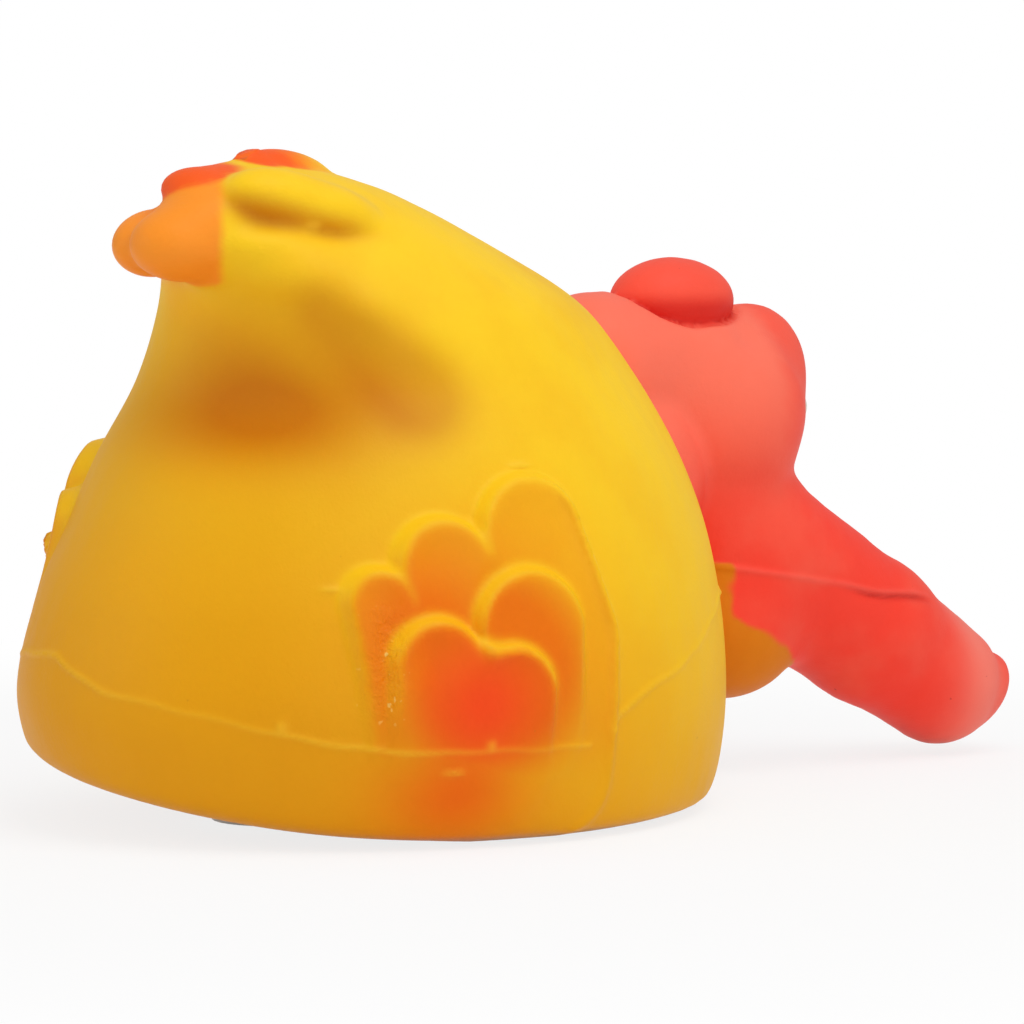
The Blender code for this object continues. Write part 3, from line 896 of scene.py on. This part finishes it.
pivot = np.array([0.0, breast(neckShape["height"]) - neckShape["inset"], neckShape["height"]])
headShape = {
    "skull": ((3.4, 17.6, 8.0), 15.0),
    "nape": ((1.0, 10.5, 13.8), 12.2),
    "napeBack": ((0.0, -3.0, 14.2), 11.6),
    "throat": ((2.5, 22.0, -22.6), 12.5),
    "jaw": (12.0, 11.5),
    "neckBall": 15.0,
    "beakRoot": ((5.0, 26.8, -13.6), 12.1),
    "beakMiddle": ((9.2, 47.6, -26.3), 10.85),
    "beakTip": ((11.4, 61.8, -35.2), 9.6),
    "tipLip": (7.2, 3.0, (6.6, 3.4, 6.0)),  # how far past the tip's centre and above it, radii
    "faceTurn": -10,
    "crown": ((0.8, -6.8, 16.3), (7.6, 9.8, 6.4)),
    "crownMoat": 0.9,
    "front": ((0.0, 7.9, 5.9), (8.0, 9.1, 9.9)),
    "eye": ((2.5, 13.2, 0.2), 2.9),
    "socket": (2.4, 0.9),  # of the eye: how far ahead of it, how much larger
    "pupil": 1.3,
    # hollows of the face: place, widths, depth
    "hollows": (
        ((14.5, 54.5, 57.0), (9.0, 9.0, 9.0), 1.2), ((12.0, 64.0, 60.0), (3.2, 3.2, 9.0), 1.1),
        ((-11.0, 66.0, 60.0), (3.2, 3.2, 9.0), 1.1), ((17.0, 61.0, 43.5), (6.0, 6.0, 2.4), 0.7),
    ),
    # the throat is bare behind this line: forward from the base's middle, height, fall per length
    "paintLine": (61.4, 32.0, 24.0, 0.52),
    "seam": (61.5, 31.0, 0.169),  # forward, height there, fall per length
    "seamReach": (-7, -3, 33, 39),  # along it: where it fades in and out again
}
face = np.array(Matrix.Rotation(radians(headShape["faceTurn"]), 3, "Z"))
skull = pivot + headShape["skull"][0]


def onFace(place):
    return skull + face @ np.asarray(place, float)


def beakForm(p):
    (root, rootRadius), (middle, middleRadius), (tip, tipRadius) = (
        headShape[name] for name in ("beakRoot", "beakMiddle", "beakTip")
    )
    rear = taper(p, pivot + root, pivot + middle, rootRadius, middleRadius)
    return melt(rear, taper(p, pivot + middle, pivot + tip, middleRadius, tipRadius), 2)


beakLie = np.asarray(headShape["beakTip"][0]) - np.asarray(headShape["beakRoot"][0])
beakLong = float(np.linalg.norm(beakLie))
beakLie = beakLie / beakLong
beakSide = np.cross(beakLie, (0, 0, 1))
beakSide /= np.linalg.norm(beakSide)
beakUp = np.cross(beakSide, beakLie)
beakTurn = np.stack([beakSide, beakLie, beakUp], axis=1)


def throatForm(p):
    throat, radius = headShape["throat"]
    form = egg(p, pivot + throat, (radius,) * 3)
    return melt(form, taper(p, skull, pivot + throat, *headShape["jaw"]), 3)


def mouthLine(p):
    # how far above the line where the beak's halves meet, and where along the beak
    forward, height, fall = headShape["seam"]
    along = p[:, 1] - forward
    wander = 0.35 * np.sin(along / 3.1) * ramp(along, 12, 26)
    return p[:, 2] - height + fall * along + wander, along, p[:, 0] - skull[0] - 0.13 * along


def mouthReach(along):
    start, full, thins, end = headShape["seamReach"]
    return ramp(along, start, full) * (1 - ramp(along, thins, end))


def headForm(p, seam=True):
    s = headShape
    form = egg(p, skull, (s["skull"][1],) * 3)
    napeAt, napeRadius = s["nape"]
    backAt, backRadius = s["napeBack"]
    form = melt(form, taper(p, pivot + napeAt, pivot + backAt, napeRadius, backRadius), 4)
    form = melt(form, throatForm(p), 3)
    form = melt(form, egg(p, pivot, (s["neckBall"],) * 3), 2)
    form = melt(form, beakForm(p), 4.0)
    for hollowAt, wide, deep in s["hollows"]:
        form = form + deep * dent(p, hollowAt, wide)
    place, radii = s["front"]
    form = melt(form, egg(p, onFace(place), radii, face), 2.6)
    place, radii = s["crown"]
    form = carve(form, egg(p, onFace(place), np.asarray(radii) + s["crownMoat"], face), 1.6)
    form = melt(form, egg(p, onFace(place), radii, face), 0.7)
    past, above, radii = s["tipLip"]
    lip = pivot + headShape["beakTip"][0] + beakLie * past + beakUp * above
    form = melt(form, egg(p, lip, radii, beakTurn), 2.2)
    eyeAt, eyeRadius = s["eye"]
    ahead, larger = s["socket"]
    for side in (1, -1):
        place = onFace((eyeAt[0] * side, eyeAt[1] + ahead, eyeAt[2]))
        form = carve(form, egg(p, place, (eyeRadius + larger,) * 3), 0.5)
    form = form - 0.10 * waves(p, 21, 6) - 0.03 * waves(p, 7, 9)
    if seam:
        off, along, across = mouthLine(p)
        side = ramp(across, 2, 6) + ramp(-across, 2, 6)
        reach = mouthReach(along)
        crease = bell(off + 0.55, 0.5) * ramp(along, 17, 25) * reach
        bead = bell(off - 0.1, 0.45) * reach
        form = form + (0.45 * crease - 0.28 * bead) * side
    return form


def nearMouth(p):
    # where the mesh needs smaller faces
    off, along, _ = mouthLine(p)
    return (np.abs(off) < 1.6) & (along > -9) & (along < 42)


# starting balls along the beak and the throat, and the pitches of its two remeshes
headMesh = {"steps": 9, "throatRadius": 11.6, "pitches": (0.9, 0.55)}


def makeHead():
    s = headShape
    coarse, fine = headMesh["pitches"]
    shells = []
    for place, radius in (s["skull"], s["nape"], s["napeBack"], s["throat"]):
        shells.append(eggShell(pivot + place, (radius,) * 3))
    shells.append(eggShell(pivot, (s["neckBall"],) * 3))
    for name in ("crown", "front"):
        place, radii = s[name]
        shells.append(eggShell(onFace(place), radii, face))
    (root, rootRadius), (tip, tipRadius) = s["beakRoot"], s["beakTip"]
    throat = np.asarray(s["throat"][0])
    for t in np.linspace(0, 1, headMesh["steps"]):
        place = np.asarray(root) + (np.asarray(tip) - root) * t
        shells.append(eggShell(pivot + place, (rootRadius + (tipRadius - rootRadius) * t,) * 3))
        shells.append(eggShell(skull + (pivot + throat - skull) * t, (headMesh["throatRadius"],) * 3))
    head = startMesh("headSkin", shells)
    remesh(head, coarse)
    settle(head, lambda p: headForm(p, False), 5, 2.0)
    remesh(head, fine)
    settle(head, lambda p: headForm(p, False), 3, 0.8, 0.25)
    refine(head, nearMouth)
    settle(head, headForm, 3, 0.5, 0.0)
    return head


def paintHead(piece):
    p = points(piece)
    ragged = 0.8 * waves(p, 6, 4) + 0.5 * waves(p, 2.4, 7)
    beak = beakForm(p)
    throat = np.minimum(throatForm(p), egg(p, pivot, (headShape["neckBall"],) * 3))
    forward, top, corner, fall = headShape["paintLine"]
    behind = 1 - ramp(p[:, 1] - forward + 0.4 * ragged, -0.5, 0.5)
    behind = behind * (1 - ramp(p[:, 2] - top + 0.7 * ragged, -0.5, 0.5))
    under = 1 - ramp(p[:, 2] - corner + fall * (p[:, 1] - forward) + 0.4 * ragged, -0.5, 0.5)
    under = under * ramp(beak - throat, 0.0, 1.0)
    yellow = np.maximum(behind, under)
    store(piece, "bare", yellow)
    off, along, across = mouthLine(p)
    reach = mouthReach(along)
    # painted shade in the crease where the beak's halves meet
    store(piece, "mouthCreaseShade", bell(off + 0.55, 0.6) * ramp(along, 17, 25) * reach)
    store(piece, "mouthLight", np.clip(bell(off - 0.1, 0.55) * reach, 0, 1))
    # painted light on the beak's tip, where its lip faces the light
    store(piece, "tipPaintedLight", bell(along - beakLong - 7.0, 6.0))
    # painted light: the red gets lighter higher up, where the light falls from above
    store(piece, "top", ramp(p[:, 2] - 0.25 * p[:, 1], 18, 46))
    crown = egg(p, onFace(headShape["crown"][0]), headShape["crown"][1], face)
    onCrown = 1 - ramp(crown, 0.3, 1.4)
    # the crown is painted a darker red; the face's forward part is darkened as painted shade, on the side
    # turned from the light
    ahead = (p - skull) @ face[:, 1]
    onFront = 0.85 * ramp(ahead + ragged * 0.5, 2.5, 8.5) * ramp(p[:, 2] - skull[2], -9.0, -3.0)
    store(piece, "crownPaintAndFrontShade", np.maximum(onCrown, onFront))
    # painted shade in the crease under the crown
    store(piece, "shadeUnderCrown", onCrown * (1 - ramp(p[:, 2], skull[2] + 15.2, skull[2] + 18.2)))


def headFinish():
    f = Finish("redPaintedLatex", latexBase)
    cloud = f.noise(0.016, 4)
    fine = f.noise(0.0014, 3, 0.6)
    grain = f.noise(0.0004, 2)
    # painted light and shade: lighter red on top, darker red below
    red = f.mix(f.mask("top"), shade(255, 68, 50), shade(255, 119, 95))
    red = f.mix(f.between(cloud, 0.40, 0.70) * 0.35, red, shade(255, 112, 88))
    # painted light on the beak's tip
    red = f.mix(f.mask("tipPaintedLight") * 0.8, red, shade(255, 136, 118))
    # darker red crown paint, and painted shade on the face's forward part
    red = f.mix(f.mask("crownPaintAndFrontShade") * 0.8, red, shade(252, 76, 56))
    # painted shade under the crown
    red = f.mix(f.mask("shadeUnderCrown") * 0.9, red, shade(220, 38, 28))
    # painted shade in the beak's mouth crease
    red = f.mix(f.mask("mouthCreaseShade") * 0.55, red, shade(196, 30, 24))
    red = f.mix(f.mask("mouthLight") * 0.25, red, shade(255, 120, 105))
    speck = f.between(f.noise(0.0020, 2, 0.7), 0.75, 0.79)
    red = f.mix(speck * 0.4, red, shade(170, 28, 30))
    yellow = f.mix(cloud, shade(232, 140, 8), shade(222, 120, 6))
    light = f.mix(f.mask("bare"), red, yellow)
    rough = 0.43 + cloud * 0.10 + fine * 0.05
    return f.done(light, rough, fine * 0.5 + grain * 0.3, 0.10 * mm)


head = makeHead()
print("head skin:", len(head.data.vertices), "vertices")
paintHead(head)
finishMesh(head, headFinish())
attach(head, "head")
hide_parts("head_skin", "comb_crown", "comb_front", "beak_upper", "beak_lower")


# eyes and pupils
def dome(name, centre, radii, turn, bulge=0.0):
    # a cast dome, a little fuller in the middle of its front
    shell = startMesh(name, [eggShell(centre, radii, turn, 40, 26)])
    p = points(shell)
    q = (p - centre) @ turn
    front = ramp(q[:, 1] / radii[1], 0.2, 1.0)
    p = p + np.outer(front * bulge, turn[:, 1])
    shell.data.vertices.foreach_set("co", p.ravel())
    shell.data.update()
    return shell


def glossFinish(name, first, second, roughness):
    f = Finish(name, {"Coat Weight": 0.4, "Coat Roughness": 0.12, "IOR": 1.5})
    cloud = f.noise(0.003, 3)
    fine = f.noise(0.0005, 2)
    return f.done(f.mix(cloud, shade(*first), shade(*second)), roughness + cloud * 0.1, fine, 0.03 * mm)


eyeFinish = glossFinish("eyeWhite", (244, 240, 226), (232, 224, 204), 0.26)
pupilFinish = glossFinish("eyeBlack", (14, 13, 14), (30, 27, 28), 0.22)
eyeAt, eyeRadius = headShape["eye"]
for word, side in (("Right", 1), ("Left", -1)):
    centre = onFace((eyeAt[0] * side, eyeAt[1], eyeAt[2]))
    outward = np.array(Matrix.Rotation(radians(headShape["faceTurn"] - 8 * side), 3, "Z"))
    eye = dome("eye" + word, centre, (eyeRadius, eyeRadius, eyeRadius * 1.06), outward, 0.45)
    finishMesh(eye, eyeFinish)
    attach(eye, "head")
    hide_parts("eye_" + word.lower())
    spot = centre + outward[:, 1] * (eyeRadius - 0.35) + np.array((0, 0, 0.2))
    pupil = dome("pupil" + word, spot, (headShape["pupil"], 0.8, headShape["pupil"] * 1.15), outward, 0.1)
    finishMesh(pupil, pupilFinish)
    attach(pupil, "head")
    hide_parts("pupil_" + word.lower())
print("head, eyes and pupils are on")

# the fold of latex round the neck, like a bellows
foldShape = {
    "radius": 14.1,
    "wall": 2.0,
    "roll": 0.825,  # how far a roll stands out
    "rolls": 3,
    "spacing": 1.7,
    "narrowing": 0.18,  # of the radius, with the distance from the middle roll
    "place": -0.6,
    "around": 96,
}


def makeFold():
    s = foldShape
    rise = 4
    slope = breast(neckShape["height"] + rise) - breast(neckShape["height"] - rise)
    axis = Vector((0, 2 * rise, -slope)).normalized()
    turn = np.array(axis.to_track_quat("Z", "Y").to_matrix())
    # the tube wall's closed outline: out over the rolls, back along the smooth inside
    profile = []
    half = s["spacing"] * s["rolls"] / 2
    heights = np.linspace(-half, half, 31)
    for z in heights:
        roll = abs(cos(pi * z / s["spacing"])) ** 0.7
        profile.append((s["radius"] - abs(z) * s["narrowing"] + s["roll"] * roll, z))
    for z in heights[::-1]:
        profile.append((s["radius"] - s["wall"] - abs(z) * s["narrowing"], z))
    around, count = s["around"], len(profile)
    vertices = []
    for a in angles(around):
        for r, z in profile:
            wobble = 0.08 * sin(5 * a + z) + 0.05 * sin(11 * a)
            vertices.append(((r + wobble) * cos(a), (r + wobble) * sin(a), z + s["place"]))
    vertices = np.asarray(vertices) @ turn.T + pivot
    faces = []
    for i in range(around):
        j = (i + 1) % around
        for k in range(count):
            m = (k + 1) % count
            faces.append([i * count + k, j * count + k, j * count + m, i * count + m])
    return startMesh("neckFold", [(vertices, faces)])


def foldFinish():
    f = Finish("foldLatex", latexBase)
    cloud = f.noise(0.008, 4)
    fine = f.noise(0.0014, 3, 0.6)
    colour = f.mix(cloud, shade(238, 172, 26), shade(222, 150, 18))
    return f.done(colour, 0.44 + cloud * 0.1, fine, 0.08 * mm)


fold = makeFold()
finishMesh(fold, foldFinish())
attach(fold, "neck")
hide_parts("neck_fold")
print("neck fold is in")

# the squeaker's own pieces keep their shapes and get their finishes
squeakerColours = {
    "squeaker_housing": ((226, 226, 222), (204, 204, 200), 0.36),
    "squeaker_cap": ((214, 216, 214), (196, 198, 198), 0.34),
    "squeaker_reed": ((176, 184, 194), (150, 160, 172), 0.26),
}


def plasticFinish(name, first, second, roughness):
    f = Finish(name, {"IOR": 1.49})
    cloud = f.noise(0.006, 3)
    scuff = f.between(f.noise(0.0012, 4, 0.7), 0.60, 0.72)
    colour = f.mix(cloud, shade(*first), shade(*second))
    colour = f.mix(scuff * 0.25, colour, shade(*(v - 26 for v in first)))
    return f.done(colour, roughness + scuff * 0.16 + cloud * 0.06, f.noise(0.0006, 2), 0.02 * mm)


for name, (first, second, roughness) in squeakerColours.items():
    finish = plasticFinish(name.replace("_", " ").title().replace(" ", ""), first, second, roughness)
    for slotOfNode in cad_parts[name].material_slots:
        slotOfNode.material = finish
print("squeaker is finished")
